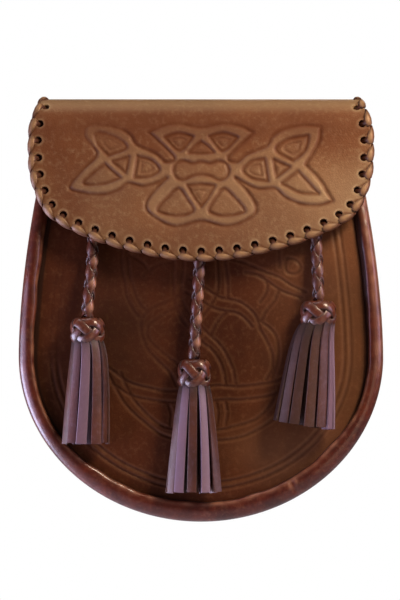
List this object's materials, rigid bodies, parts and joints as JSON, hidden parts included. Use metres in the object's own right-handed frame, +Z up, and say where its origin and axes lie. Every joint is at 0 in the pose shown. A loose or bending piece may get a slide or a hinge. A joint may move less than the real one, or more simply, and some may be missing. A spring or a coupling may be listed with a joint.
{
  "type": "sporran pouch",
  "caption": "Leather sporran pouch with a tooled, laced fold-over flap, a rounded rim, hanging tassels on braids and belt loops on its back.",
  "frame": {"origin": "on the back panel's outer face, midway between the two belt loops, where the pouch hangs from its strap", "axes": "+Z up as worn, front towards -Y, wearer's side towards +Y"},
  "size_m": [0.1788, 0.0523, 0.2093],
  "materials": {
    "body_leather": "satin",
    "panel_leather": "satin",
    "rim_leather": "gloss",
    "flap_leather": "matte",
    "lace_leather": "satin",
    "tassel_leather": "gloss",
    "aged_brass": "satin"
  },
  "bodies": {
    "root": {"back_panel": "body_leather", "front_panel": "panel_leather", "gusset": "body_leather", "front_rim": "rim_leather", "flap": "flap_leather", "flap_lacing": "lace_leather", "closure_stud": "aged_brass", "belt_loop_left": "body_leather", "belt_loop_right": "body_leather", "tassel_left_tab": "body_leather", "tassel_left_cord": "tassel_leather", "tassel_left_knot": "tassel_leather", "tassel_left_fringe": "tassel_leather", "tassel_middle_tab": "body_leather", "tassel_middle_cord": "tassel_leather", "tassel_middle_knot": "tassel_leather", "tassel_middle_fringe": "tassel_leather", "tassel_right_tab": "body_leather", "tassel_right_cord": "tassel_leather", "tassel_right_knot": "tassel_leather", "tassel_right_fringe": "tassel_leather"}
  },
  "joints": []
}
